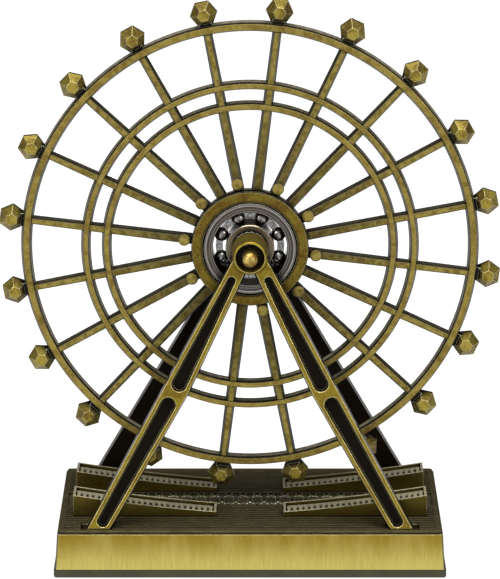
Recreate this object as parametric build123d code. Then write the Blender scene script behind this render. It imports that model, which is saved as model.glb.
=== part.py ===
from build123d import *
import os
from math import atan2, cos, degrees, hypot, radians, sin

# A desk ferris wheel of antique-bronze zinc castings, turned by hand on an open ball bearing.
# All lengths are in millimetres. X runs to the right, Y to the back and Z up. The origin is
# under the middle of the base, on the surface that the wheel stands on.

# ---- Base: pad, plinth, front panel and deck ----
base_height = 10.9  # deck surface above the table
deck_width = 87.8
deck_depth = 48.0
deck_reveal = 0.7  # edge of the deck that stands above the plinth
deck_plug = 1.2  # the deck's lower step, which drops into the plinth
plug_inset = 4.0  # from the deck's edge in to the side of that step
plug_clearance = 0.1
deck_corner = 0.9
plinth_ledge = 0.35  # plinth top outside the deck's edge
side_lean = 0.55  # how far each side of the plinth leans in over its height
plinth_wall = 2.2
plinth_web = 2.2  # top wall of the hollow plinth, under the deck's step
pad_thickness = 1.7
pad_chamfer = 0.15
pad_ledge = 0.3  # pad beyond the plinth, all round
panel_thickness = 0.6
panel_proud = 0.12  # front panel beyond the plinth's face
panel_side_margin = 0.35  # inside the plinth's leaning side edges
panel_edge_margin = 0.12  # above the pad and below the deck
panel_clearance = 0.05

# ---- Deck pattern ----
rib_pitch = 1.6
rib_groove = 0.7
rib_depth = 0.25
deck_border = 1.1  # plain edge round the ribs
band_width = 9.6  # recessed band across the middle
band_depth = 0.35

# ---- Boarding ramps ----
ramp_inner_end = 7.8  # from the middle of the deck
ramp_end_margin = 2.9  # from its outer end to the deck's side edge
ramp_gap = 11.1  # between the front and the rear pair
ramp_width = 7.4
ramp_low = 1.0
ramp_high = 5.0
ramp_sag = 0.35  # how far the top dips below a straight slope
ramp_rail = 0.55
ramp_channel = 0.75  # depth below the rails
tooth_pitch = 1.33
tooth_width = 0.75
tooth_length = 4.1
tooth_drop = 0.12  # tooth tops below the rails
ramp_peg_diameter = 1.6
ramp_peg_length = 1.0
ramp_peg_inset = 3.0  # from the ramp's inner end
ramp_screw_inset = 3.2  # from the ramp's outer end
peg_clearance = 0.05

# ---- Screws under the base ----
screw_diameter = 2.0
screw_length = 6.0
screw_head_diameter = 3.8
screw_head_height = 1.1
screw_head_round = 0.44
screw_head_gap = 0.2  # between the pad and the heads
screw_tip_chamfer = 0.4
screw_recess_diameter = 1.1
screw_recess_depth = 0.6
screw_hole_clearance = 0.1  # radial, in the pieces that the screw passes through
thread_clearance = 0.01  # radial, in the piece that it holds
pilot_extra = 0.3  # pilot hole beyond the screw's tip

# ---- A-frames ----
wheel_clearance = 3.4  # a capsule at the bottom of its turn, above the deck
leg_face_top = 9.3  # leg faces from the wheel's mid-plane, level with the axis
leg_foot_setback = 1.3  # leg faces from the deck's front edge, at the deck
leg_thickness = 4.0
leg_draft = 5.0  # degrees, each leg widens from its face to its back
leg_outer_top = 3.2  # outer edge of a leg from the middle, level with the axis
leg_foot_margin = 6.6  # from that edge to the deck's side edge, at the deck
leg_width_top = 3.85
leg_width_web = 6.12
leg_width_foot = 5.0
web_share = 0.508  # of the way from the axis to the deck
web_width = 1.6
leg_rail = 0.85
pocket_depth = 2.4
pocket_draft = 7.0  # degrees
upper_pocket_start = 5.0  # below the axis
lower_pocket_end = 0.6  # above the deck
tenon_width = 5.0
tenon_depth = 3.6
tenon_clearance = 0.15
socket_floor = 1.8
socket_wall = 2.0
slot_margin_outer = 1.7
slot_margin_inner = 0.55
slot_margin_depth = 0.6
boss_diameter = 7.7  # at its front ring
boss_flare = 0.4  # the boss's radius grows by this towards its back
boss_proud = 3.1  # boss ring beyond the leg faces
boss_gap = 1.8  # from the bearing's rings to the back of a boss
boss_nose_diameter = 6.6  # nose on the boss's back that meets the bearing's sleeve
boss_wall = 0.5  # round the recess in its face
boss_recess_depth = 2.3
boss_edge_round = 0.45
recess_floor_round = 0.9

# ---- Axle ----
axle_diameter = 3.4
axle_reach = 1.7  # from a boss's ring out to the foot of the dome
axle_dome = 1.0
axle_clearance = 0.02
sleeve_clearance = 0.01

# ---- Ball bearing ----
bearing_bore = 8.0
bearing_outside = 22.0
bearing_width = 7.0
inner_land_diameter = 11.3
outer_land_diameter = 17.15
ball_diameter = 3.0
ball_count = 8
race_clearance = 0.03
cage_clearance = 0.03
cage_thickness = 0.12
cage_flat_width = 1.65
cage_land_gap = 0.06  # between the cage's pockets and the lands
rivet_diameter = 0.66
rivet_head_diameter = 1.1
rivet_head_height = 0.18
rivet_head_round = 0.09
rivet_clearance = 0.02
bearing_chamfer = 0.4
bore_chamfer = 0.2
land_chamfer = 0.2
seat_clearance = 0.01  # outer ring in the wheel's hub

# ---- Wheel ----
spoke_count = 20
first_spoke = -11.0  # degrees clockwise from the top, seen from the front
rim_radius = 52.85
rim_width = 2.45
inner_ring_radius = 34.2
inner_ring_width = 2.2
ring_gap = 2.65  # between the inner and the outer ring
outer_ring_width = 2.15
ring_depth = 4.2
ring_flank = 0.52  # each side of a ring narrows by this from mid-plane to face
spoke_width_hub = 2.6
spoke_width_rim = 2.0
spoke_depth = 3.5
spoke_flank = 0.42
spoke_root = 2.2  # how far the spokes start inside the hub ring's outside
hub_wall = 2.55  # round the bearing
hub_chamfer = 0.25
hub_taper = 1.25  # the hub's radius shrinks by this towards the back
hub_taper_start = 0.4  # behind the mid-plane
pad_diameter = 2.75  # round ejector pads on every other spoke
pad_gap = 1.75  # from the hub to the middle of a pad
pad_front = 2.45  # pad face from the wheel's mid-plane
capsule_standoff = 2.5  # from the rim to the middle of a capsule
capsule_height = 5.5  # across the radial flats
capsule_length = 6.35  # corner to corner along the rim
capsule_depth = 5.8
capsule_band = 1.2  # straight part of the sides, half way through the depth
capsule_flat_share = 0.5  # radial flats as a share of the length
capsule_face_share = 0.45  # front facet as a share of the middle outline
neck_width = 3.0
neck_depth = 3.0

# ---- Worked out from the above ----
plinth_top = base_height - deck_reveal
plug_bottom = plinth_top - deck_plug
web_bottom = plug_bottom - plinth_web
plinth_width = deck_width + 2 * (plinth_ledge + side_lean)
plinth_depth = deck_depth + 2 * (plinth_ledge + side_lean)
plinth_height = plinth_top - pad_thickness
side_draft = degrees(atan2(side_lean, plinth_height))
pitch_radius = (inner_land_diameter + outer_land_diameter) / 4
ball_radius = ball_diameter / 2
ramp_middle = (ramp_gap + ramp_width) / 2
ramp_outer_end = deck_width / 2 - ramp_end_margin
ramp_length = ramp_outer_end - ramp_inner_end
rim_bore_radius = rim_radius - rim_width
outer_ring_bore_radius = inner_ring_radius + ring_gap
outer_ring_radius = outer_ring_bore_radius + outer_ring_width
inner_ring_bore_radius = inner_ring_radius - inner_ring_width
hub_radius = bearing_outside / 2 + hub_wall
pad_radius = hub_radius + pad_gap
capsule_radius = rim_radius + capsule_standoff
axis_rise = wheel_clearance + capsule_radius + capsule_height / 2
hub_height = base_height + axis_rise
leg_face_foot = deck_depth / 2 - leg_foot_setback
leg_outer_foot = deck_width / 2 - leg_foot_margin
leg_outer_web = leg_outer_top + (leg_outer_foot - leg_outer_top) * web_share
leg_inner_top = leg_outer_top - leg_width_top
leg_inner_web = leg_outer_web - leg_width_web
leg_inner_foot = leg_outer_foot - leg_width_foot
boss_face = leg_face_top + boss_proud
boss_back = bearing_width / 2 + boss_gap
axle_straight = 2 * (boss_face + axle_reach)
leg_splay = atan2(leg_face_foot - leg_face_top, axis_rise)
leg_run = hypot(leg_face_foot - leg_face_top, axis_rise)
web_run = web_share * leg_run
foot_x = (leg_outer_foot + leg_inner_foot) / 2
foot_y = leg_face_foot - leg_thickness / 2 / cos(leg_splay)
boss_floor = pad_thickness + screw_head_height + screw_head_gap
socket_bottom = boss_floor + socket_floor


def cylinder_y(diameter, start, end):
    """Cylinder along Y, round the origin, from y = start to y = end."""
    solid = Cylinder(diameter / 2, end - start, align=(Align.CENTER, Align.CENTER, Align.MIN))
    return Pos(0, start, 0) * Rot(-90, 0, 0) * solid


def turned(points):
    """Solid turned about the Y axis from (radius, y) points."""
    outline = make_face(Polyline(*[(r, y, 0) for r, y in points], close=True))
    return revolve(outline, axis=Axis.Y)


def at_hub(shape):
    return Pos(0, 0, hub_height) * shape


def four_corners(x, y):
    return [(sx * x, sy * y) for sx in (-1, 1) for sy in (-1, 1)]


# ---------------------------------------------------------------- base


def screw_places():
    """(x, y, z under the head) of each screw: four in the feet and four in the ramps."""
    feet = [(x, y, boss_floor) for x, y in four_corners(foot_x, foot_y)]
    ramp_x = ramp_outer_end - ramp_screw_inset
    ramps = [(x, y, web_bottom) for x, y in four_corners(ramp_x, ramp_middle)]
    return feet + ramps


def screw_holes(radial_clearance, extra=0.0):
    """The shanks of all screws, widened by a clearance, as cutters."""
    radius = screw_diameter / 2 + radial_clearance
    length = screw_length + extra
    holes = [Pos(x, y, z + length / 2) * Cylinder(radius, length) for x, y, z in screw_places()]
    return Compound(children=holes)


def base_screws():
    screws = []
    for x, y, z in screw_places():
        shank = Pos(0, 0, screw_length / 2) * Cylinder(screw_diameter / 2, screw_length)
        shank = chamfer(shank.faces().sort_by(Axis.Z)[-1].edges(), screw_tip_chamfer)
        head = Pos(0, 0, -screw_head_height / 2) * Cylinder(screw_head_diameter / 2, screw_head_height)
        head = fillet(head.faces().sort_by(Axis.Z)[0].edges(), screw_head_round)
        drive = Pos(0, 0, -screw_head_height) * Cylinder(
            screw_recess_diameter / 2, 2 * screw_recess_depth
        )
        screws.append(Pos(x, y, z) * (shank + head - drive))
    return Compound(children=screws)


def base_pad():
    width, depth = plinth_width + 2 * pad_ledge, plinth_depth + 2 * pad_ledge
    pad = extrude(RectangleRounded(width, depth, deck_corner), pad_thickness)
    return chamfer(pad.faces().sort_by(Axis.Z)[0].edges(), pad_chamfer)


def panel_plane():
    """Plane on the plinth's leaning front face, half way up it, facing outwards."""
    lean = radians(side_draft)
    middle_y = -(plinth_depth - side_lean) / 2
    middle_z = pad_thickness + plinth_height / 2
    return Plane(
        origin=(0, middle_y, middle_z), x_dir=(1, 0, 0), z_dir=(0, -cos(lean), sin(lean))
    )


def panel_solid(grow, depth):
    """Slab with the outline of the front panel plus a margin, from its face into the plinth."""
    half_height = plinth_height / 2 - panel_edge_margin + grow
    half_width = (plinth_width - side_lean) / 2 - panel_side_margin + grow
    lean = side_lean * half_height / plinth_height
    outline = Polyline(
        (-half_width - lean, -half_height),
        (half_width + lean, -half_height),
        (half_width - lean, half_height),
        (-half_width + lean, half_height),
        close=True,
    )
    return extrude(panel_plane().offset(panel_proud) * make_face(outline), amount=-depth)


def front_panel():
    return panel_solid(0.0, panel_thickness)


def base_plinth():
    at_bottom = Pos(0, 0, pad_thickness)
    outline = RectangleRounded(plinth_width, plinth_depth, deck_corner)
    body = at_bottom * extrude(outline, plinth_height, taper=side_draft)
    inside = Rectangle(plinth_width - 2 * plinth_wall, plinth_depth - 2 * plinth_wall)
    body -= at_bottom * extrude(inside, web_bottom - pad_thickness)
    boss_x = tenon_width + 2 * socket_wall
    boss_y = tenon_depth + 2 * socket_wall
    for x, y in four_corners(foot_x, foot_y):
        boss = Box(boss_x, boss_y, web_bottom - boss_floor, align=(Align.CENTER, Align.CENTER, Align.MIN))
        body += Pos(x, y, boss_floor) * boss
    plug_room = RectangleRounded(
        deck_width - 2 * (plug_inset - plug_clearance),
        deck_depth - 2 * (plug_inset - plug_clearance),
        deck_corner,
    )
    body -= Pos(0, 0, plug_bottom) * extrude(plug_room, deck_plug)
    for x, y in four_corners(foot_x, foot_y):
        socket = Box(
            tenon_width + 2 * tenon_clearance,
            tenon_depth + 2 * tenon_clearance,
            plinth_top - socket_bottom,
            align=(Align.CENTER, Align.CENTER, Align.MIN),
        )
        body -= Pos(x, y, socket_bottom) * socket
    body -= screw_holes(screw_hole_clearance)
    return body - panel_solid(panel_clearance, panel_thickness)


def rib_grooves():
    """Grooves along X on the deck, in front of the band and behind it."""
    start = band_width / 2 + deck_border
    stop = deck_depth / 2 - deck_border
    length = deck_width - 2 * deck_border
    count = int((stop - start) / rib_pitch)
    grooves = []
    for side in (-1, 1):
        for index in range(count):
            y = side * (start + (index + 0.5) * rib_pitch)
            grooves.append(Pos(0, y, base_height) * Box(length, rib_groove, 2 * rib_depth))
    return Compound(children=grooves)


def foot_slots():
    """Openings in the deck round the feet, wider on the outer side of each foot."""
    half = tenon_width / 2
    slots = []
    for sx in (-1, 1):
        for sy in (-1, 1):
            low = foot_x - half - slot_margin_inner
            high = foot_x + half + slot_margin_outer
            room = Box(high - low, tenon_depth + 2 * slot_margin_depth, 4 * base_height)
            slots.append(Pos(sx * (low + high) / 2, sy * foot_y, 0) * room)
    return Compound(children=slots)


def ramp_pegs(radial_clearance, length):
    pegs = []
    for x, y in four_corners(ramp_inner_end + ramp_peg_inset, ramp_middle):
        radius = ramp_peg_diameter / 2 + radial_clearance
        pegs.append(Pos(x, y, base_height - length / 2) * Cylinder(radius, length))
    return Compound(children=pegs)


def deck_plate():
    plate = Pos(0, 0, plinth_top) * extrude(
        RectangleRounded(deck_width, deck_depth, deck_corner), deck_reveal
    )
    step = RectangleRounded(deck_width - 2 * plug_inset, deck_depth - 2 * plug_inset, deck_corner)
    plate += Pos(0, 0, plug_bottom) * extrude(step, deck_plug)
    plate -= Pos(0, 0, base_height) * Box(deck_width - 2 * deck_border, band_width, 2 * band_depth)
    plate -= rib_grooves()
    plate -= foot_slots()
    plate -= ramp_pegs(peg_clearance, ramp_peg_length + peg_clearance)
    return plate - screw_holes(screw_hole_clearance)


# ---------------------------------------------------------------- ramps


def ramp_profile(drop, start, end):
    """Side view of the ramp between two distances from its inner end, its top lowered by drop."""

    def height(share):
        straight = ramp_low + (ramp_high - ramp_low) * share
        return straight - 4 * ramp_sag * share * (1 - share) - drop

    first, last = start / ramp_length, end / ramp_length
    middle = (first + last) / 2
    with_top = [(ramp_length * s, height(s)) for s in (first, middle, last)]
    outline = Polyline(with_top[2], (end, 0), (start, 0), with_top[0])
    return make_face(outline + ThreePointArc(*with_top))


def ramp_slice(drop, start, end, y_low, y_high):
    """Ramp to the right of the middle, cut between two lengths and two depths."""
    side_view = Rot(90, 0, 0) * extrude(ramp_profile(drop, start, end), y_high - y_low)
    return Pos(ramp_inner_end, y_high, base_height) * side_view


def ramp(sx, sy):
    """Ramp that climbs outwards, with toothed treads between a front and a rear rail."""
    front, rear = -ramp_width / 2, ramp_width / 2
    start, end = ramp_rail, ramp_length - ramp_rail
    channel = (start, end, front + ramp_rail, rear - ramp_rail)
    block = ramp_slice(0, 0, ramp_length, front, rear)
    block -= ramp_slice(-ramp_high, *channel) - ramp_slice(ramp_channel, *channel)
    count = int((end - start) / tooth_pitch)
    first = ramp_inner_end + (ramp_length - (count - 1) * tooth_pitch) / 2
    bars = Compound(
        children=[
            Pos(first + index * tooth_pitch, 0, base_height)
            * Box(tooth_width, ramp_width, 4 * ramp_high)
            for index in range(count)
        ]
    )
    block += bars & ramp_slice(tooth_drop, start, end, channel[2], channel[2] + tooth_length)
    if sx < 0:
        block = mirror(block, about=Plane.YZ)
    block = Pos(0, sy * ramp_middle, 0) * block
    peg_x = sx * (ramp_inner_end + ramp_peg_inset)
    peg = Cylinder(ramp_peg_diameter / 2, ramp_peg_length, align=(Align.CENTER, Align.CENTER, Align.MAX))
    block += Pos(peg_x, sy * ramp_middle, base_height) * peg
    return block - screw_holes(thread_clearance, pilot_extra)


# ---------------------------------------------------------------- A-frames


def leg_plane():
    """Plane of the front legs' faces: x to the right, y up the legs, facing the front."""
    return Plane(
        origin=(0, -leg_face_top, hub_height),
        x_dir=(1, 0, 0),
        z_dir=(0, -cos(leg_splay), sin(leg_splay)),
    )


def outer_edge(run):
    """Distance of a leg's outer edge from the middle, at a run down the leg from the axis."""
    return leg_outer_top + (leg_outer_foot - leg_outer_top) * run / leg_run


def inner_edge(run):
    """The same for the inner edge, which bends at the web between the two pockets."""
    if run < web_run:
        return leg_inner_top + (leg_inner_web - leg_inner_top) * run / web_run
    return leg_inner_web + (leg_inner_foot - leg_inner_web) * (run - web_run) / (leg_run - web_run)


def leg_face():
    """Outline of the right leg, from inside the boss to below the deck."""
    below = leg_run + leg_thickness
    points = [
        (outer_edge(0), 0),
        (outer_edge(below), -below),
        (inner_edge(below), -below),
        (inner_edge(web_run), -web_run),
        (inner_edge(0), 0),
    ]
    return make_face(Polyline(*points, close=True))


def pocket_end(run, towards_foot):
    """Circle at an end of a pocket, a rail's width inside both edges of the right leg."""
    lean = atan2(leg_outer_foot - leg_outer_top, leg_run)
    radius = (outer_edge(run) - inner_edge(run)) / 2 * cos(lean) - leg_rail
    centre_run = run + (radius if towards_foot else -radius) * cos(lean)
    centre_x = (outer_edge(centre_run) + inner_edge(centre_run)) / 2
    return Pos(centre_x, -centre_run) * Circle(radius)


def pocket_face(start, end):
    """Round-ended pocket between two runs down the right leg."""
    ends = [pocket_end(start, True), pocket_end(end, False)]
    return make_hull([edge for circle in ends for edge in circle.edges()])


def a_frame_front():
    plane = leg_plane()
    upper = pocket_face(upper_pocket_start, web_run - web_width / 2)
    lower = pocket_face(web_run + web_width / 2, leg_run - lower_pocket_end)
    leg = extrude(plane * leg_face(), amount=-leg_thickness, taper=-leg_draft)
    leg -= extrude(plane * upper, amount=-pocket_depth, taper=pocket_draft)
    leg -= extrude(plane * lower, amount=-pocket_depth, taper=pocket_draft)
    above_deck = Pos(0, 0, base_height) * Box(
        2 * deck_width, 2 * deck_depth, 2 * hub_height, align=(Align.CENTER, Align.CENTER, Align.MIN)
    )
    leg &= above_deck
    tenon = Box(
        tenon_width,
        tenon_depth,
        base_height - socket_bottom,
        align=(Align.CENTER, Align.CENTER, Align.MIN),
    )
    leg += Pos(foot_x, -foot_y, socket_bottom) * tenon
    frame = leg + mirror(leg, about=Plane.YZ) + at_hub(boss())
    frame -= at_hub(boss_recess())
    frame -= at_hub(cylinder_y(axle_diameter + 2 * axle_clearance, -2 * boss_face, 0))
    return frame - screw_holes(thread_clearance, pilot_extra)


def boss():
    """Drafted boss with a rounded front edge, and the nose that meets the bearing's sleeve."""
    front, back = boss_diameter / 2, boss_diameter / 2 + boss_flare
    cone = Cone(front, back, boss_face - boss_back, align=(Align.CENTER, Align.CENTER, Align.MIN))
    cone = Pos(0, -boss_face, 0) * Rot(-90, 0, 0) * cone
    cone = fillet(cone.faces().sort_by(Axis.Y)[0].edges(), boss_edge_round)
    return cone + cylinder_y(boss_nose_diameter, -boss_back, -bearing_width / 2)


def boss_recess():
    """Bowl in the boss's face, round the end of the axle."""
    diameter = boss_diameter - 2 * boss_wall
    bowl = cylinder_y(diameter, -boss_face, -boss_face + boss_recess_depth)
    return fillet(bowl.faces().sort_by(Axis.Y)[-1].edges(), recess_floor_round)


# ---------------------------------------------------------------- axle and bearing


def axle_pin():
    """Straight pin with a dome on each end, turned from half of its outline."""
    radius, half = axle_diameter / 2, axle_straight / 2
    tip = half + axle_dome
    dome_radius = (radius**2 + axle_dome**2) / (2 * axle_dome)
    on_dome = dome_radius * sin(radians(45)), tip - dome_radius * (1 - cos(radians(45)))
    outline = Polyline((0, -tip), (0, tip))
    outline += ThreePointArc((0, tip), on_dome, (radius, half))
    outline += Polyline((radius, half), (radius, -half))
    outline += ThreePointArc((radius, -half), (on_dome[0], -on_dome[1]), (0, -tip))
    return at_hub(revolve(make_face(outline), axis=Axis.Y))


def bearing_sleeve():
    half = bearing_width / 2
    sleeve = cylinder_y(bearing_bore - 2 * sleeve_clearance, -half, half)
    return at_hub(sleeve - cylinder_y(axle_diameter + 2 * axle_clearance, -half, half))


def race_groove():
    """Round groove for the balls in both rings."""
    section = Pos(pitch_radius, 0, 0) * Circle(ball_radius + race_clearance)
    return revolve(section, axis=Axis.Y)


def bearing_inner_ring():
    bore, land, half = bearing_bore / 2, inner_land_diameter / 2, bearing_width / 2
    points = [
        (bore, -half + bore_chamfer),
        (bore + bore_chamfer, -half),
        (land - land_chamfer, -half),
        (land, -half + land_chamfer),
        (land, half - land_chamfer),
        (land - land_chamfer, half),
        (bore + bore_chamfer, half),
        (bore, half - bore_chamfer),
    ]
    return at_hub(turned(points) - race_groove())


def bearing_outer_ring():
    land, outside, half = outer_land_diameter / 2, bearing_outside / 2, bearing_width / 2
    points = [
        (land, -half + land_chamfer),
        (land + land_chamfer, -half),
        (outside - bearing_chamfer, -half),
        (outside, -half + bearing_chamfer),
        (outside, half - bearing_chamfer),
        (outside - bearing_chamfer, half),
        (land + land_chamfer, half),
        (land, half - land_chamfer),
    ]
    return at_hub(turned(points) - race_groove())


def ball_places():
    """Direction of each ball from the axis, in degrees clockwise from the top."""
    step = 360 / ball_count
    return [(index + 0.5) * step for index in range(ball_count)]


def bearing_ball(angle):
    return at_hub(Rot(0, angle, 0) * Pos(0, 0, pitch_radius) * Sphere(ball_radius))


def bearing_cage_front():
    """Ribbon of flats and domed pockets in front of the balls."""
    inner = pitch_radius - cage_flat_width / 2
    outer = pitch_radius + cage_flat_width / 2
    ribbon = cylinder_y(2 * outer, -cage_thickness, 0) - cylinder_y(2 * inner, -cage_thickness, 0)
    pocket_radius = ball_radius + cage_clearance
    dome_radius = pocket_radius + cage_thickness
    between_lands = cylinder_y(outer_land_diameter - 2 * cage_land_gap, -dome_radius, 0)
    between_lands -= cylinder_y(inner_land_diameter + 2 * cage_land_gap, -dome_radius, 0)
    for angle in ball_places():
        place = Rot(0, angle, 0) * Pos(0, 0, pitch_radius)
        ribbon += (place * Sphere(dome_radius)) & between_lands
    for angle in ball_places():
        ribbon -= Rot(0, angle, 0) * Pos(0, 0, pitch_radius) * Sphere(pocket_radius)
    for angle in ball_places():
        hole = cylinder_y(rivet_diameter + 2 * rivet_clearance, -dome_radius, dome_radius)
        ribbon -= Rot(0, angle + 180 / ball_count, 0) * Pos(0, 0, pitch_radius) * hole
    return at_hub(ribbon)


def bearing_cage_rivets():
    rivet = cylinder_y(rivet_diameter, -cage_thickness, cage_thickness)
    for side in (-1, 1):
        start, end = sorted((side * cage_thickness, side * (cage_thickness + rivet_head_height)))
        head = cylinder_y(rivet_head_diameter, start, end)
        rim = head.faces().sort_by(Axis.Y)[0 if side < 0 else -1].edges()
        rivet += fillet(rim, rivet_head_round)
    rivets = []
    for angle in ball_places():
        rivets.append(Rot(0, angle + 180 / ball_count, 0) * Pos(0, 0, pitch_radius) * rivet)
    return at_hub(Compound(children=rivets))


# ---------------------------------------------------------------- wheel


def wheel_ring(inner, outer):
    """Ring with a six-sided section, widest at the casting's parting line."""
    face = ring_depth / 2
    points = [
        (inner, 0),
        (inner + ring_flank, -face),
        (outer - ring_flank, -face),
        (outer, 0),
        (outer - ring_flank, face),
        (inner + ring_flank, face),
    ]
    return turned(points)


def hub_ring():
    bore = bearing_outside / 2 + seat_clearance
    outside, half = hub_radius, bearing_width / 2
    points = [
        (bore, -half),
        (outside - hub_chamfer, -half),
        (outside, -half + hub_chamfer),
        (outside, hub_taper_start),
        (outside - hub_taper, half),
        (bore, half),
    ]
    return turned(points)


def spoke_section(width, distance):
    """Six-sided section of a spoke at a distance from the axis."""
    half, face = width / 2, spoke_depth / 2
    flat = half - spoke_flank
    points = [(half, 0), (flat, -face), (-flat, -face), (-half, 0), (-flat, face), (flat, face)]
    return Pos(0, 0, distance) * make_face(Polyline(*points, close=True))


def plain_spoke():
    """Tapered spoke that points up, from inside the hub ring to inside the rim."""
    start, end = hub_radius - spoke_root, rim_radius - rim_width / 2
    return loft([spoke_section(spoke_width_hub, start), spoke_section(spoke_width_rim, end)], ruled=True)


def spoke_angles():
    return [first_spoke + index * 360 / spoke_count for index in range(spoke_count)]


def wheel_spokes():
    spoke = plain_spoke() - hub_ring() - wheel_ring(rim_bore_radius, rim_radius)
    pad = Pos(0, 0, pad_radius) * cylinder_y(pad_diameter, -pad_front, 0)
    with_pad = spoke + (pad - hub_ring())
    spokes = []
    for index, angle in enumerate(spoke_angles()):
        spokes.append(Rot(0, angle, 0) * (spoke if index % 2 else with_pad))
    return at_hub(Compound(children=spokes))


def threaded_ring(inner, outer):
    """Ring that the spokes pass through."""
    ring = wheel_ring(inner, outer)
    spoke = plain_spoke()
    for angle in spoke_angles():
        ring -= Rot(0, angle, 0) * spoke
    return at_hub(ring)


def capsule_outline(share, y):
    """Capsule's hexagon, scaled by a share, at a distance from the mid-plane."""
    half_length, half_height = share * capsule_length / 2, share * capsule_height / 2
    corner = half_length * capsule_flat_share
    points = [
        (half_length, 0),
        (corner, half_height),
        (-corner, half_height),
        (-half_length, 0),
        (-corner, -half_height),
        (corner, -half_height),
    ]
    face = Rot(90, 0, 0) * make_face(Polyline(*points, close=True))
    return Pos(0, y, capsule_radius) * face


def wheel_capsules():
    """Capsules with a straight band between two ends that narrow to a small facet."""
    stations = [
        (capsule_face_share, -capsule_depth / 2),
        (1, -capsule_band / 2),
        (1, capsule_band / 2),
        (capsule_face_share, capsule_depth / 2),
    ]
    capsule = loft([capsule_outline(share, y) for share, y in stations], ruled=True)
    neck_foot = rim_radius - ring_flank
    neck = Pos(0, 0, (neck_foot + capsule_radius) / 2) * Box(
        neck_width, neck_depth, capsule_radius - neck_foot
    )
    capsule += neck
    capsule -= wheel_ring(rim_bore_radius, rim_radius)
    return at_hub(Compound(children=[Rot(0, angle, 0) * capsule for angle in spoke_angles()]))


def all_nodes():
    frame, cage = a_frame_front(), bearing_cage_front()
    behind = Plane.XZ
    nodes = {
        "base_pad": base_pad(),
        "base_plinth": base_plinth(),
        "front_panel": front_panel(),
        "deck_plate": deck_plate(),
        "ramp_front_left": ramp(-1, -1),
        "ramp_front_right": ramp(1, -1),
        "ramp_rear_left": ramp(-1, 1),
        "ramp_rear_right": ramp(1, 1),
        "base_screws": base_screws(),
        "a_frame_front": frame,
        "a_frame_rear": mirror(frame, about=behind),
        "axle_pin": axle_pin(),
        "bearing_sleeve": bearing_sleeve(),
        "bearing_inner_ring": bearing_inner_ring(),
        "bearing_outer_ring": bearing_outer_ring(),
        "bearing_cage_front": cage,
        "bearing_cage_rear": mirror(cage, about=behind),
        "bearing_cage_rivets": bearing_cage_rivets(),
        "wheel_hub": at_hub(hub_ring()),
        "wheel_spokes": wheel_spokes(),
        "wheel_ring_inner": threaded_ring(inner_ring_bore_radius, inner_ring_radius),
        "wheel_ring_outer": threaded_ring(outer_ring_bore_radius, outer_ring_radius),
        "wheel_rim": at_hub(wheel_ring(rim_bore_radius, rim_radius)),
        "wheel_capsules": wheel_capsules(),
    }
    for number, angle in enumerate(ball_places(), start=1):
        nodes[f"bearing_ball_{number}"] = bearing_ball(angle)
    return nodes


os.makedirs("parts", exist_ok=True)
for name, solid in all_nodes().items():
    export_step(solid, f"parts/{name}.step")
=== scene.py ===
import math

import bmesh
import bpy
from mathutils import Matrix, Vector


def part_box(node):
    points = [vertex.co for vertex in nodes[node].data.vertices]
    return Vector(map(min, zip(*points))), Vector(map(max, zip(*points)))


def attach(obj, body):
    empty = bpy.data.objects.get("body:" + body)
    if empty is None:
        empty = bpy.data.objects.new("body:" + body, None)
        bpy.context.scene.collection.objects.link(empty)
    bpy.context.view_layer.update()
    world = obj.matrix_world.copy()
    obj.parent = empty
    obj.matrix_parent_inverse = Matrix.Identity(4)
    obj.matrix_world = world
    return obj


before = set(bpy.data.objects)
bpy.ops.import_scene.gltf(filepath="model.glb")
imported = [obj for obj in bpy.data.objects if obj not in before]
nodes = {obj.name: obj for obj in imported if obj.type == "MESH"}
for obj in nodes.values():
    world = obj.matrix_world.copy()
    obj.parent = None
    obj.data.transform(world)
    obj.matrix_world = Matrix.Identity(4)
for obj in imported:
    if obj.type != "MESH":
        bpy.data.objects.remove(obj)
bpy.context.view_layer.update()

MM = 0.001
HUB = Vector((0, 0, 72.4)) * MM

# Sizes of the CAD that materials and added pieces follow, in mm.
LEG_FACE_TOP = 9.3  # leg faces from the wheel's mid-plane, level with the axis
LEG_FACE_FOOT = 22.7
AXIS_RISE = 61.5  # axis above the deck
BOSS_RECESS = (3.2, 3.4)  # radii over which the boss's recess turns into its lip
BOSS_EDGE = (4.55, 4.75)  # radii over which the boss ends
POCKET_DEPTHS = (-1.3, -0.3)  # below a leg's face
SEAT_SHADE_RING = (11.1, 11.7)  # radii next to the bearing's seat in the hub, over which shade is painted
# radii over which shade is painted on the bearing's outer chamfer, next to the hub
CHAMFER_SHADE_RING = (10.65, 10.85)
NECK_END = (53.3, 54.3)
PAD_FACE = (2.25, 2.4)  # ejector pads, from the wheel's mid-plane
PARTING_HIGHLIGHT_STRIP = (0.7, 1.5)  # band of painted highlight along the parting line, from the wheel's mid-plane
HUB_SPOKE_START = 11.35
RIM_SPOKE_END = 51.625
SPOKE_HALF_AT_HUB = 1.3
SPOKE_HALF_AT_RIM = 1.0
FIRST_SPOKE = -11  # degrees from upright
SPOKE_COUNT = 20
RING_RADII = (50.4, 52.85, 36.85, 39.0, 32.0, 34.2)
SPOKE_SPANS = ((13.6, 32.1), (34.1, 36.95), (38.9, 50.5))

# ---------------------------------------------------------------- shader graphs


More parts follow.
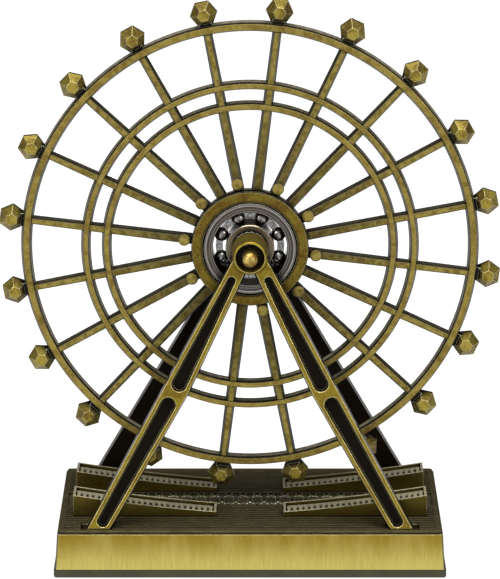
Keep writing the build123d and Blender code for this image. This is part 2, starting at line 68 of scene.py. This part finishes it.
class Graph:
    """A material's node tree round one Principled shader, with short calls for its nodes."""

    def __init__(self, name):
        self.material = bpy.data.materials.new(name)
        self.material.use_nodes = True
        self.tree = self.material.node_tree
        self.tree.nodes.clear()
        output = self.add("ShaderNodeOutputMaterial")
        self.shader = self.add("ShaderNodeBsdfPrincipled")
        self.tree.links.new(self.shader.outputs[0], output.inputs["Surface"])
        self.coords = self.add("ShaderNodeTexCoord")
        self.place = self.coords.outputs["Object"]
        self.x, self.y, self.z = self.split(self.place)
        self.out = self.math("ABSOLUTE", self.y)
        across = self.math("SUBTRACT", self.z, HUB.z)
        along_x = self.math("MULTIPLY", self.x, self.x)
        along_z = self.math("MULTIPLY", across, across)
        self.radius = self.math("SQRT", self.math("ADD", along_x, along_z))

    def add(self, kind, **settings):
        node = self.tree.nodes.new(kind)
        for key, value in settings.items():
            setattr(node, key, value)
        return node

    def feed(self, socket, value):
        if isinstance(value, bpy.types.NodeSocket):
            self.tree.links.new(value, socket)
        else:
            socket.default_value = value

    def math(self, operation, a, b=0.0, c=0.0, clamp=False):
        node = self.add("ShaderNodeMath", operation=operation, use_clamp=clamp)
        for socket, value in zip(node.inputs, (a, b, c)):
            self.feed(socket, value)
        return node.outputs[0]

    def split(self, vector):
        node = self.add("ShaderNodeSeparateXYZ")
        self.feed(node.inputs[0], vector)
        return node.outputs

    def stretched(self, vector, scale):
        """The vector multiplied by three factors."""
        node = self.add("ShaderNodeVectorMath", operation="MULTIPLY")
        self.feed(node.inputs[0], vector)
        node.inputs[1].default_value = scale
        return node.outputs[0]

    def noise(self, vector, scale, detail=2.0, roughness=0.5):
        node = self.add("ShaderNodeTexNoise")
        self.feed(node.inputs["Vector"], vector)
        node.inputs["Scale"].default_value = scale
        node.inputs["Detail"].default_value = detail
        node.inputs["Roughness"].default_value = roughness
        return node.outputs[0]

    def step(self, value, low, high, to_low=0.0, to_high=1.0):
        """Smooth step of a value from one range to another."""
        node = self.add("ShaderNodeMapRange", interpolation_type="SMOOTHSTEP")
        for socket, number in zip(node.inputs, (value, low, high, to_low, to_high)):
            self.feed(socket, number)
        return node.outputs[0]

    def mix(self, share, a, b):
        node = self.add("ShaderNodeMix", data_type="RGBA")
        self.feed(node.inputs["Factor"], share)
        self.feed(node.inputs[6], a)
        self.feed(node.inputs[7], b)
        return node.outputs[2]

    def open_air(self, reach, samples=8):
        """1 on open surfaces and 0 in tight recesses, within a reach in metres."""
        node = self.add("ShaderNodeAmbientOcclusion", samples=samples)
        node.inputs["Distance"].default_value = reach
        return node.outputs["AO"]

    def edge(self, radius, low=0.01, high=0.12):
        """1 on sharp edges and 0 away from them, with the rounded normal."""
        bevel = self.add("ShaderNodeBevel", samples=6)
        bevel.inputs["Radius"].default_value = radius
        flat = self.add("ShaderNodeNewGeometry").outputs["Normal"]
        dot = self.add("ShaderNodeVectorMath", operation="DOT_PRODUCT")
        self.feed(dot.inputs[0], bevel.outputs[0])
        self.feed(dot.inputs[1], flat)
        bent = self.math("SUBTRACT", 1.0, dot.outputs["Value"])
        return self.step(bent, low, high), bevel.outputs[0]

    def bump(self, height, depth, strength=1.0, normal=None):
        node = self.add("ShaderNodeBump")
        node.inputs["Strength"].default_value = strength
        node.inputs["Distance"].default_value = depth
        self.feed(node.inputs["Height"], height)
        if normal is not None:
            self.feed(node.inputs["Normal"], normal)
        self.feed(self.shader.inputs["Normal"], node.outputs[0])

    def finish(self, color, roughness, metallic=1.0):
        self.feed(self.shader.inputs["Base Color"], color)
        self.feed(self.shader.inputs["Roughness"], roughness)
        self.feed(self.shader.inputs["Metallic"], metallic)
        return self.material


def rgb(red, green, blue):
    """Linear colour from 0 to 255 values as a screen shows them."""
    linear = []
    for value in (red, green, blue):
        linear.append(((value / 255 + 0.055) / 1.055) ** 2.4 if value > 10 else value / 3294.6)
    return (*linear, 1)


OLIVE = rgb(122, 106, 46)
GOLD = rgb(190, 172, 96)
BROWN = rgb(88, 64, 26)
BLACKENED = rgb(13, 11, 7)
PALE = rgb(232, 222, 176)
NO_FACES = (2.0, 3.0)  # a range that no normal reaches, where the rubbing is even all over


def between(g, value, limits, to_low=0.0, to_high=1.0):
    """Smooth step of a length over limits in mm."""
    return g.step(value, limits[0] * MM, limits[1] * MM, to_low, to_high)


def mottling(g, low=0.4, high=0.62):
    """Blotches and fine specks of a hand-rubbed plating, 0 to 1."""
    clouds = g.noise(g.place, 260.0, 3.0)
    specks = g.noise(g.place, 1900.0, 2.0, 0.6)
    both = g.math("ADD", g.math("MULTIPLY", clouds, 0.55), g.math("MULTIPLY", specks, 0.45))
    return g.step(both, low, high)


def bronze(name, rubbed=OLIVE, stained=BROWN, dark=BLACKENED, faces=(0.7, 0.95), everywhere=0.0,
           reach=1.2, open_air=(0.35, 0.9), round_edge=0.25, wear=0.5, worn=PALE, mottle=0.6,
           rough=0.34, shade=None, crest=0.0, crest_from=0.9, outward=False, middle=None, painted_top_light=None):
    """Plated casting: blackened all over, then rubbed back on its faces and worn on its edges.

    faces: range of the normal's share along the wheel's axis that counts as rubbed; as the normal is
    the rounded one, the faces also get painted shade towards their edges.
    everywhere: rubbed share of all other surfaces, as a number or a function.
    reach, open_air: distance in mm and range that count as a recess.
    shade: function that limits the rubbed share.
    crest: gold share of a painted highlight along rounded crests, where the rounded normal is past
    crest_from.
    outward: True where only the sides away from the wheel are rubbed.
    middle: colour of a painted highlight strip along the mid-plane of the sides, round the parting
    line.
    chalky: function for the share of pale, dull colour, painted as light from above where it is used.
    """
    g = Graph(name)
    edge, rounded = g.edge(round_edge * MM)
    front = g.split(rounded)[1]
    if outward:
        front = g.math("MULTIPLY", front, g.math("SIGN", g.y))
    else:
        front = g.math("ABSOLUTE", front)
    least = everywhere(g) if callable(everywhere) else everywhere
    # The rounded normal turns away from the axis near edges, so this also paints shade on the faces
    # towards their edges.
    face = g.step(front, *faces, least, 1.0)
    clear = g.step(g.open_air(reach * MM), *open_air)
    bare = g.math("MULTIPLY", face, clear, clamp=True)
    if shade is not None:
        bare = g.math("MULTIPLY", bare, shade(g), clamp=True)
    stain = mottling(g)
    tone = g.mix(g.math("MULTIPLY", stain, mottle), rubbed, stained)
    # Painted highlight: gold along the crest of rounded faces.
    if crest:
        patches = g.step(g.noise(g.place, 700.0, 3.0, 0.65), 0.38, 0.6, 0.15, 1.0)
        top = g.math("MULTIPLY", g.step(front, crest_from, 0.999), patches)
        tone = g.mix(g.math("MULTIPLY", top, crest), tone, GOLD)
    # Painted highlight: a paler, streaked strip on the dark sides along the mid-plane, round the
    # parting line.
    if middle is not None:
        streaks = g.step(g.noise(g.place, 900.0, 2.0), 0.3, 0.7, 0.6, 1.0)
        strip = between(g, g.out, PARTING_HIGHLIGHT_STRIP, 1.0, 0.0)
        lit = g.math("MULTIPLY", strip, streaks)
        dark = g.mix(lit, dark, middle)
    metal = bare
    # Painted light from above where a function is given: pale, dull colour with less metal.
    if painted_top_light is not None:
        share = painted_top_light(g)
        tone = g.mix(share, tone, worn)
        metal = g.math("MULTIPLY", bare, g.math("SUBTRACT", 1.0, share))
    color = g.mix(bare, dark, tone)
    bright = g.math("MULTIPLY", g.math("MULTIPLY", edge, clear), wear, clamp=True)
    if outward:
        bright = g.math("MULTIPLY", bright, g.step(front, 0.35, 0.7))
    color = g.mix(bright, color, worn)
    grain = g.noise(g.place, 5200.0, 2.0, 0.7)
    uneven = g.step(grain, 0.3, 0.7, rough - 0.08, rough + 0.1)
    roughness = g.math("ADD", uneven, g.math("MULTIPLY", stain, 0.08))
    g.bump(g.math("ADD", grain, g.math("MULTIPLY", stain, 1.5)), 0.00002, 0.4, rounded)
    g.shader.inputs["Specular IOR Level"].default_value = 0.05
    return g.finish(color, roughness, g.math("MAXIMUM", metal, bright))


def towards_rim(g):
    """Share of rubbed metal on a spoke: dark at the hub, brighter towards the rim and on the pads."""
    spoke = g.step(g.radius, 12 * MM, 46 * MM, 0.35, 1.0)
    return g.math("MAXIMUM", spoke, between(g, g.out, PAD_FACE))


def above_pocket(g):
    """1 at a leg's face, falling to 0 in its pockets, and 0 in the boss's recess."""
    lean = math.atan2(LEG_FACE_FOOT - LEG_FACE_TOP, AXIS_RISE)
    out = g.math("SUBTRACT", g.out, LEG_FACE_TOP * MM)
    up = g.math("SUBTRACT", g.z, HUB.z)
    outward = g.math("MULTIPLY", out, math.cos(lean))
    upward = g.math("MULTIPLY", up, math.sin(lean))
    face = between(g, g.math("ADD", outward, upward), POCKET_DEPTHS)
    face = g.math("MAXIMUM", face, on_boss(g))
    return g.math("MULTIPLY", face, between(g, g.radius, BOSS_RECESS))


def on_boss(g):
    """1 on an A-frame's boss and 0 on its legs."""
    return between(g, g.radius, BOSS_EDGE, 1.0, 0.0)


def boss_side(g):
    """Rubbed share of an A-frame's sides: most on the boss."""
    return g.math("ADD", g.math("MULTIPLY", on_boss(g), 0.7), 0.06)


def clear_of_seat_shade(g):
    """Painted shade: 0 next to the bearing's seat and 1 on the hub's open face."""
    return between(g, g.radius, SEAT_SHADE_RING, 0.15, 1.0)


def facing_up(g):
    """1 on level surfaces and 0 on upright ones."""
    return g.step(g.split(g.coords.outputs["Normal"])[2], 0.6, 0.9)


def ramp_top(g):
    """Rubbed share of a ramp: more on its treads than on its ends, which also paints light from above
    on the surfaces that face up.
    """
    return g.math("ADD", g.math("MULTIPLY", facing_up(g), 0.6), 0.35)


def ramp_top_light(g):
    """Painted light from above: share of pale, dull colour on a ramp's surfaces that face up, its
    rails and teeth.
    """
    return g.math("MULTIPLY", facing_up(g), 0.55)


def clear_of_rim(g):
    """0 on a capsule's neck and 1 on the capsule."""
    return between(g, g.radius, NECK_END)


def brushed_panel():
    """Brass with a fine upright grain; painted shade makes it darker and olive towards its top edge,
    and a painted highlight brightens its edges, most at the bottom.
    """
    g = Graph("brushed_brass")
    low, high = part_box("front_panel")
    rise = g.step(g.z, low.z, high.z)
    grain = g.noise(g.stretched(g.place, (9000.0, 300.0, 260.0)), 1.0, 3.0, 0.65)
    broad = g.noise(g.stretched(g.place, (260.0, 60.0, 90.0)), 1.0, 3.0)
    # Painted shade: darker and olive from the bottom edge to the top edge.
    tone = g.mix(rise, rgb(196, 182, 100), rgb(140, 118, 40))
    tone = g.mix(g.step(grain, 0.3, 0.7, 0.0, 0.34), tone, rgb(120, 102, 38))
    tone = g.mix(g.step(broad, 0.4, 0.8, 0.0, 0.25), tone, rgb(206, 190, 112))
    edge, rounded = g.edge(0.14 * MM)
    # Painted highlight on the edges, strongest along the bottom.
    bright = g.math("MULTIPLY", edge, g.step(rise, 0.0, 0.3, 1.0, 0.3))
    color = g.mix(bright, tone, rgb(240, 230, 176))
    g.bump(grain, 0.00003, 0.3, rounded)
    return g.finish(color, g.step(grain, 0.3, 0.7, 0.3, 0.44))


def steel(name, tone, turned=True, rough=0.24, reach=1.2, gaps=(0.25, 0.9), lines=0.85,
          light=rgb(190, 188, 184)):
    """Ground steel, with fine rings round the wheel's axis where it is turned, painted shade in its
    gaps and recesses and painted highlights on its edges.
    """
    g = Graph(name)
    grain_place = g.place
    if turned:
        rings = g.add("ShaderNodeCombineXYZ")
        g.feed(rings.inputs[0], g.radius)
        grain_place = rings.outputs[0]
    fine = g.noise(grain_place, 6000.0, 2.0, 0.6)
    broad = g.noise(grain_place, 1900.0, 1.0, 0.5)
    clouds = g.noise(g.place, 420.0, 3.0)
    # 1 in the open and 0 in gaps and recesses, where shade is painted.
    recess = g.step(g.open_air(reach * MM), *gaps)
    edge, rounded = g.edge(0.1 * MM)
    darker = tuple(0.2 * v for v in tone[:3]) + (1,)
    color = g.mix(g.step(fine, 0.35, 0.65, 0.0, 0.5), tone, darker)
    color = g.mix(g.step(broad, 0.47, 0.56, 0.0, lines), color, darker)
    color = g.mix(g.step(broad, 0.44, 0.38, 0.0, lines), color, light)
    color = g.mix(g.step(clouds, 0.4, 0.7, 0.0, 0.35), color, rgb(100, 90, 74))
    if turned:
        # Painted shade on the outer ring's chamfer, next to the hub.
        recess = g.math("MULTIPLY", recess, between(g, g.radius, CHAMFER_SHADE_RING, 1.0, 0.05))
    # Painted shade: near-black in gaps and recesses.
    color = g.mix(recess, rgb(10, 9, 8), color)
    # Painted highlight: pale edges in the open.
    color = g.mix(g.math("MULTIPLY", g.math("MULTIPLY", edge, recess), 0.8), color, rgb(226, 224, 218))
    g.bump(fine, 0.00002, 0.3, rounded)
    return g.finish(color, g.step(fine, 0.3, 0.7, rough - 0.06, rough + 0.1))


def rubber():
    """Dull dark pad with a fine grain."""
    g = Graph("dark_pad")
    grain = g.noise(g.place, 3400.0, 3.0, 0.6)
    clouds = g.noise(g.place, 120.0, 2.0)
    color = g.mix(g.step(clouds, 0.3, 0.7), rgb(48, 48, 34), rgb(58, 57, 42))
    color = g.mix(g.step(grain, 0.45, 0.7, 0.0, 0.5), color, rgb(68, 67, 50))
    g.shader.inputs["Specular IOR Level"].default_value = 0.25
    g.bump(grain, 0.00004, 0.5)
    return g.finish(color, g.step(grain, 0.3, 0.7, 0.55, 0.75), 0.0)


def dress(names, material):
    """Gives CAD nodes a material."""
    for name in names:
        slots = nodes[name].data.materials
        slots.clear()
        slots.append(material)


# ---------------------------------------------------------------- extra pieces


def piece(name, bm, body, material):
    """Added piece that rides on a body."""
    data = bpy.data.meshes.new(name)
    bm.to_mesh(data)
    bm.free()
    for polygon in data.polygons:
        polygon.use_smooth = True
    made = bpy.data.objects.new(name, data)
    bpy.context.scene.collection.objects.link(made)
    data.materials.append(material)
    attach(made, body)
    return made


def closed_tube(bm, centre_line, section):
    """Tube along a closed line: section(index) gives the offsets of one ring of corners."""
    rings = []
    for index, point in enumerate(centre_line):
        rings.append([bm.verts.new(point + offset) for offset in section(index)])
    count = len(rings)
    for index in range(count):
        ring, after = rings[index], rings[(index + 1) % count]
        for k in range(len(ring)):
            m = (k + 1) % len(ring)
            bm.faces.new((ring[k], ring[m], after[m], after[k]))


def oval(bm, x, y, z, half_x, half_y, wire, high, start=0.0, turn=360.0):
    """Raised oval ring that lies flat, or the part of it from one angle over a turn."""
    steps = 28
    whole = turn >= 360
    rows = []
    for index in range(steps if whole else steps + 1):
        angle = math.radians(start + turn * index / steps)
        out = Vector((math.cos(angle) / half_x, math.sin(angle) / half_y, 0)).normalized()
        middle = Vector((x + half_x * math.cos(angle), y + half_y * math.sin(angle), z))
        up = Vector((0, 0, high))
        rows.append([
            bm.verts.new(middle - out * wire / 2),
            bm.verts.new(middle - out * wire / 4 + up),
            bm.verts.new(middle + out * wire / 4 + up),
            bm.verts.new(middle + out * wire / 2),
        ])
    last = len(rows) if whole else len(rows) - 1
    for index in range(last):
        a, b = rows[index], rows[(index + 1) % len(rows)]
        for k in range(3):
            bm.faces.new((a[k], b[k], b[k + 1], a[k + 1]))


def bar(bm, x, y, z, length, width, high, angle):
    """Small raised bar with sloping sides."""
    along = Vector((math.cos(angle), math.sin(angle), 0))
    side = Vector((-along.y, along.x, 0))
    middle = Vector((x, y, z))
    up = Vector((0, 0, high))
    foot, crest = [], []
    for sa, sb in ((-1, -1), (1, -1), (1, 1), (-1, 1)):
        foot.append(bm.verts.new(middle + along * sa * length / 2 + side * sb * width / 2))
        inside = along * sa * length * 0.42 + side * sb * width / 5
        crest.append(bm.verts.new(middle + inside + up))
    bm.faces.new(crest)
    for k in range(4):
        m = (k + 1) % 4
        bm.faces.new((foot[k], foot[m], crest[m], crest[k]))


def band_relief(material):
    """Lattice of ovals and small crosses in the band across the deck."""
    pitch, half_band = 3.3 * MM, 4.8 * MM
    floor_z, high = 10.55 * MM, 0.3 * MM
    half_width = 42.5 * MM
    wire = 0.46 * MM
    bm = bmesh.new()
    count = int(half_width / pitch)
    for k in range(-count, count + 1):
        x = k * pitch
        oval(bm, x, 0, floor_z, 0.62 * MM, 1.9 * MM, wire, high)
        if abs(x + pitch / 2) > half_width - pitch / 2:
            continue
        for side in (-1, 1):
            start = 180 if side > 0 else 0
            oval(bm, x + pitch / 2, side * half_band, floor_z, 0.72 * MM, 2.1 * MM, wire, high,
                 start, 180)
            for quarter in (0.25, 0.75):
                for angle in (45, 135):
                    bar(bm, x + quarter * pitch, side * 2.55 * MM, floor_z, 1.15 * MM, 0.34 * MM,
                        high * 0.8, math.radians(angle))
    return piece("band_relief", bm, "root", material)


def flash_ring(bm, radius, wide, deep):
    """Thin ridge round the axis at the parting line: half its width stands out each way."""
    steps = 240
    line, normals = [], []
    for index in range(steps):
        angle = 2 * math.pi * index / steps
        out = Vector((math.sin(angle), 0, math.cos(angle)))
        line.append(HUB + out * radius)
        normals.append(out)

    def section(index):
        out = normals[index]
        along = Vector((0, deep / 2, 0))
        return [out * wide - along * 0.4, out * wide + along * 0.4, along, -out * wide + along * 0.4,
                -out * wide - along * 0.4, -along]

    closed_tube(bm, line, section)


def flash_spoke(bm, angle, inner, outer, half_in, half_out, wide, deep):
    """Thin ridges along both edges of a spoke."""
    out = Vector((math.sin(angle), 0, math.cos(angle)))
    side = Vector((out.z, 0, -out.x))
    along = Vector((0, deep / 2, 0))
    for sign in (-1, 1):
        ends = []
        for reach, half in ((inner, half_in), (outer, half_out)):
            middle = HUB + out * reach + side * sign * half
            ends.append([bm.verts.new(middle + offset) for offset in
                         (side * wide + along * 0.4, side * wide - along * 0.4, -along,
                          -side * wide - along * 0.4, -side * wide + along * 0.4, along)])
        for k in range(6):
            m = (k + 1) % 6
            bm.faces.new((ends[0][k], ends[0][m], ends[1][m], ends[1][k]))
        bm.faces.new(ends[0])
        bm.faces.new(ends[1])


def spoke_half_width(radius):
    """Half a spoke's width in mm, at a radius in mm."""
    share = (radius - HUB_SPOKE_START) / (RIM_SPOKE_END - HUB_SPOKE_START)
    return SPOKE_HALF_AT_HUB + (SPOKE_HALF_AT_RIM - SPOKE_HALF_AT_HUB) * share


def parting_line(material):
    """The casting's parting line: a fine ridge on the rings' and spokes' sides."""
    bm = bmesh.new()
    wide, deep = 0.06 * MM, 0.26 * MM
    for radius in RING_RADII:
        flash_ring(bm, radius * MM, wide, deep)
    for index in range(SPOKE_COUNT):
        angle = math.radians(FIRST_SPOKE + 360 / SPOKE_COUNT * index)
        for inner, outer in SPOKE_SPANS:
            flash_spoke(bm, angle, inner * MM, outer * MM, spoke_half_width(inner) * MM,
                        spoke_half_width(outer) * MM, wide, deep)
    return piece("parting_line", bm, "wheel", material)


# ---------------------------------------------------------------- dressing

# crest paints a highlight along rounded faces, middle paints a highlight along the parting line, and
# the hub's shade function paints shade next to the bearing.
rings = bronze("bronze_rings", wear=0.1, round_edge=0.45, faces=(0.5, 0.92), crest=0.3,
               middle=rgb(112, 106, 88))
spokes = bronze("bronze_spokes", rubbed=rgb(106, 94, 40), wear=0.1, round_edge=0.6,
                faces=(0.6, 0.99), shade=towards_rim, crest=0.4, crest_from=0.96,
                middle=rgb(60, 57, 44))
hub = bronze("bronze_hub", rubbed=rgb(112, 98, 38), wear=0.4, mottle=0.95, reach=0.8,
             shade=clear_of_seat_shade, middle=rgb(120, 114, 98))
leg = bronze("bronze_leg", rubbed=rgb(140, 122, 42), dark=rgb(22, 16, 8), faces=(0.1, 0.9),
             everywhere=boss_side, wear=0.8, mottle=0.6, reach=1.0, round_edge=0.3,
             shade=above_pocket, worn=rgb(240, 230, 170), crest=0.45, crest_from=0.975,
             outward=True)
pin = bronze("bronze_pin", rubbed=GOLD, stained=rgb(120, 78, 34), everywhere=0.95,
             open_air=(0.0, 0.3), wear=0.3, mottle=0.9)
capsule = bronze("bronze_capsule", rubbed=rgb(152, 136, 60), faces=(0.3, 0.75), everywhere=0.04,
                 wear=0.75, reach=2.0, round_edge=0.2, shade=clear_of_rim, mottle=0.8)
deck = bronze("bronze_deck", rubbed=rgb(100, 92, 62), stained=rgb(66, 58, 38),
              dark=rgb(20, 18, 12), faces=NO_FACES, everywhere=0.6, reach=0.6,
              open_air=(0.6, 0.95), round_edge=0.12, wear=0.5, worn=rgb(150, 142, 108),
              rough=0.42)
ramp = bronze("bronze_ramp", rubbed=rgb(96, 86, 38), faces=(0.5, 0.9), everywhere=ramp_top,
              reach=0.9, wear=0.8, open_air=(0.52, 0.82), worn=rgb(200, 192, 162),
              round_edge=0.12, painted_top_light=ramp_top_light)
plinth = bronze("bronze_plinth", rubbed=rgb(80, 70, 36), faces=(0.2, 0.8), everywhere=0.15,
                reach=1.5, wear=0.4)
relief = bronze("bronze_relief", rubbed=rgb(160, 156, 130), stained=rgb(110, 102, 74),
                faces=NO_FACES, everywhere=0.9, reach=0.5, open_air=(0.5, 0.9), wear=0.6,
                round_edge=0.08)
flash = bronze("bronze_flash", rubbed=rgb(112, 106, 86), faces=NO_FACES, everywhere=0.5,
               reach=0.3, wear=0.4, mottle=0.4, round_edge=0.05)

dress(["wheel_rim", "wheel_ring_inner", "wheel_ring_outer"], rings)
dress(["wheel_spokes"], spokes)
dress(["wheel_hub"], hub)
dress(["wheel_capsules"], capsule)
dress(["a_frame_front", "a_frame_rear"], leg)
dress(["axle_pin"], pin)
dress(["deck_plate"], deck)
dress(["base_plinth"], plinth)
dress([f"ramp_{end}_{side}" for end in ("front", "rear") for side in ("left", "right")], ramp)
dress(["front_panel"], brushed_panel())
dress(["base_pad"], rubber())
dress(["bearing_outer_ring"],
      steel("ring_steel", rgb(108, 102, 97), light=rgb(176, 174, 170)))
dress(["bearing_inner_ring", "bearing_sleeve"],
      steel("race_steel", rgb(126, 114, 96), lines=0.5, light=rgb(140, 128, 108)))
dress(["bearing_cage_front", "bearing_cage_rear", "bearing_cage_rivets"],
      steel("cage_steel", rgb(150, 149, 150), turned=False, rough=0.14, reach=0.9,
            gaps=(0.4, 0.85), lines=0.3))
dress([f"bearing_ball_{k}" for k in range(1, 9)],
      steel("ball_steel", rgb(225, 225, 226), turned=False, rough=0.12))
dress(["base_screws"], steel("screw_steel", rgb(160, 156, 150), turned=False))

band_relief(relief)
parting_line(flash)

# ---------------------------------------------------------------- stage, light and camera


def floor():
    """Wide pale floor that renders white."""
    bm = bmesh.new()
    bmesh.ops.create_grid(bm, x_segments=4, y_segments=4, size=4.0)
    data = bpy.data.meshes.new("floor")
    bm.to_mesh(data)
    bm.free()
    made = bpy.data.objects.new("floor", data)
    bpy.context.scene.collection.objects.link(made)
    g = Graph("pale_floor")
    g.finish(rgb(110, 110, 110), 0.9, 0.0)
    g.shader.inputs["Specular IOR Level"].default_value = 0.0
    g.shader.inputs["Emission Color"].default_value = (1, 1, 1, 1)
    g.shader.inputs["Emission Strength"].default_value = 0.92
    data.materials.append(g.material)


def softbox(name, place, width, height, power):
    """Area lamp that points at the object's middle."""
    lamp = bpy.data.lights.new(name, "AREA")
    lamp.shape = "RECTANGLE"
    lamp.size, lamp.size_y = width, height
    lamp.energy = power
    made = bpy.data.objects.new(name, lamp)
    bpy.context.scene.collection.objects.link(made)
    made.location = place
    made.rotation_euler = (Vector((0, 0, 0.06)) - Vector(place)).to_track_quat("-Z", "Y").to_euler()


def surroundings():
    """Room round the object: bright behind the camera, dark behind the object."""
    world = bpy.data.worlds.new("studio")
    bpy.context.scene.world = world
    world.use_nodes = True
    tree = world.node_tree
    split = tree.nodes.new("ShaderNodeSeparateXYZ")
    tree.links.new(tree.nodes.new("ShaderNodeTexCoord").outputs["Generated"], split.inputs[0])
    front_to_back = (1, -0.8, 0.3, 0.95, 0.06)
    level_to_top = (2, 0.35, 0.9, 0.0, 0.35)
    parts = []
    for source, low, high, to_low, to_high in (front_to_back, level_to_top):
        ramp_node = tree.nodes.new("ShaderNodeMapRange")
        ramp_node.interpolation_type = "SMOOTHSTEP"
        tree.links.new(split.outputs[source], ramp_node.inputs["Value"])
        for socket, number in zip(ramp_node.inputs[1:5], (low, high, to_low, to_high)):
            socket.default_value = number
        parts.append(ramp_node.outputs[0])
    total = tree.nodes.new("ShaderNodeMath")
    tree.links.new(parts[0], total.inputs[0])
    tree.links.new(parts[1], total.inputs[1])
    background = tree.nodes["Background"]
    background.inputs["Color"].default_value = (0.97, 0.98, 1.0, 1)
    tree.links.new(total.outputs[0], background.inputs["Strength"])


def studio():
    """Soft light from above and from both sides."""
    surroundings()
    softbox("top", (0.0, -0.15, 1.1), 0.9, 0.7, 14)
    softbox("left", (-0.9, -0.7, 0.7), 0.4, 0.7, 5)
    softbox("right", (0.9, -0.7, 0.7), 0.4, 0.7, 5)


def camera():
    """View of the photograph, fitted to the wheel's ellipse and the base's corners."""
    focal_pixels, frame_pixels = 3836.7, 579
    distance = 0.8897
    data = bpy.data.cameras.new("camera")
    data.sensor_fit = "AUTO"
    data.sensor_width = 36.0
    data.lens = focal_pixels * data.sensor_width / frame_pixels
    data.clip_start, data.clip_end = 0.05, 20
    made = bpy.data.objects.new("camera", data)
    bpy.context.scene.collection.objects.link(made)
    target = Vector((0, 0, 61.842)) * MM
    lift = math.radians(14.742)
    made.location = target + Vector((0, -math.cos(lift), math.sin(lift))) * distance
    made.rotation_euler = (math.pi / 2 - lift, 0, 0)
    bpy.context.scene.camera = made


floor()
studio()
camera()
bpy.context.scene.view_settings.view_transform = "Standard"
